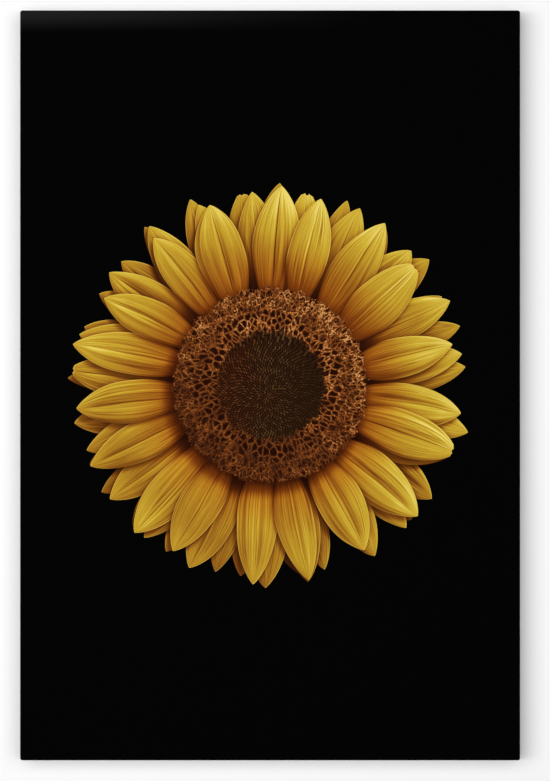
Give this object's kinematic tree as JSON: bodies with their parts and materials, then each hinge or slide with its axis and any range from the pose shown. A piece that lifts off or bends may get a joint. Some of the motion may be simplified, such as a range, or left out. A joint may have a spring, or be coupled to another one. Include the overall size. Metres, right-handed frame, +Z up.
{
  "type": "stretched canvas print",
  "caption": "Upright canvas print of a sunflower head on black, wrapped round a keyed wooden stretcher frame with a sawtooth hanger.",
  "frame": {"origin": "where the picture nail leaves the wall under the sawtooth hanger, on the print's centre line and in the wall's plane", "axes": "+Z up along the print's height, +Y into the wall, so the printed face looks along -Y, and +X to the viewer's right"},
  "size_m": [0.4, 0.0225, 0.6],
  "materials": {
    "printed_canvas": "cotton canvas printed with a sunflower on black, satin varnish on the printed side, bare cloth behind",
    "pine": "planed unfinished pine",
    "birch": "sawn unfinished birch",
    "staple_wire": "galvanised steel wire",
    "hanger_plate": "zinc-plated pressed steel",
    "wall_pad": "dark soft bumper with a fine grain"
  },
  "bodies": {
    "root": {"printed_canvas": "printed_canvas", "top_bar": "pine", "right_bar": "pine", "bottom_bar": "pine", "left_bar": "pine", "top_key_start": "birch", "top_key_end": "birch", "right_key_start": "birch", "right_key_end": "birch", "bottom_key_start": "birch", "bottom_key_end": "birch", "left_key_start": "birch", "left_key_end": "birch", "top_staple_01": "staple_wire", "top_staple_02": "staple_wire", "top_staple_03": "staple_wire", "top_staple_04": "staple_wire", "top_staple_05": "staple_wire", "top_staple_06": "staple_wire", "top_staple_07": "staple_wire", "right_staple_01": "staple_wire", "right_staple_02": "staple_wire", "right_staple_03": "staple_wire", "right_staple_04": "staple_wire", "right_staple_05": "staple_wire", "right_staple_06": "staple_wire", "right_staple_07": "staple_wire", "right_staple_08": "staple_wire", "right_staple_09": "staple_wire", "right_staple_10": "staple_wire", "right_staple_11": "staple_wire", "bottom_staple_01": "staple_wire", "bottom_staple_02": "staple_wire", "bottom_staple_03": "staple_wire", "bottom_staple_04": "staple_wire", "bottom_staple_05": "staple_wire", "bottom_staple_06": "staple_wire", "bottom_staple_07": "staple_wire", "left_staple_01": "staple_wire", "left_staple_02": "staple_wire", "left_staple_03": "staple_wire", "left_staple_04": "staple_wire", "left_staple_05": "staple_wire", "left_staple_06": "staple_wire", "left_staple_07": "staple_wire", "left_staple_08": "staple_wire", "left_staple_09": "staple_wire", "left_staple_10": "staple_wire", "left_staple_11": "staple_wire", "sawtooth_hanger": "hanger_plate", "hanger_nail_left": "hanger_plate", "hanger_nail_right": "hanger_plate", "wall_pad_top_left": "wall_pad", "wall_pad_top_right": "wall_pad", "wall_pad_bottom_left": "wall_pad", "wall_pad_bottom_right": "wall_pad"}
  },
  "joints": []
}
